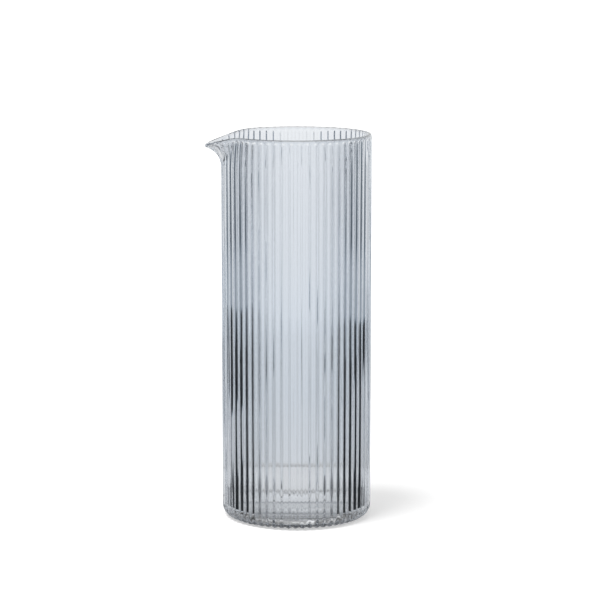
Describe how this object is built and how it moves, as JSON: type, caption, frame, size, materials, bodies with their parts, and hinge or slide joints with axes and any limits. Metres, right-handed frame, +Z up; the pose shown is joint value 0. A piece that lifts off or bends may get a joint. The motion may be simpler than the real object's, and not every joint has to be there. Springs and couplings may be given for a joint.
{
  "type": "milk carafe",
  "caption": "Tall straight glass carafe with fine vertical ribs, a rounded heel and a drawn pouring lip, for serving milk, water or juice at the table.",
  "frame": {"origin": "centre of the flat underside, on the axis of the barrel", "axes": "+Z up along the axis of the barrel, the pouring lip points to -X"},
  "size_m": [0.0973, 0.088, 0.227],
  "materials": {
    "clear_glass": "clear, faintly smoky blue-grey glass with a fire-polished surface"
  },
  "bodies": {
    "root": {"base": "clear_glass", "fluted_wall": "clear_glass", "pouring_rim": "clear_glass"}
  },
  "joints": []
}
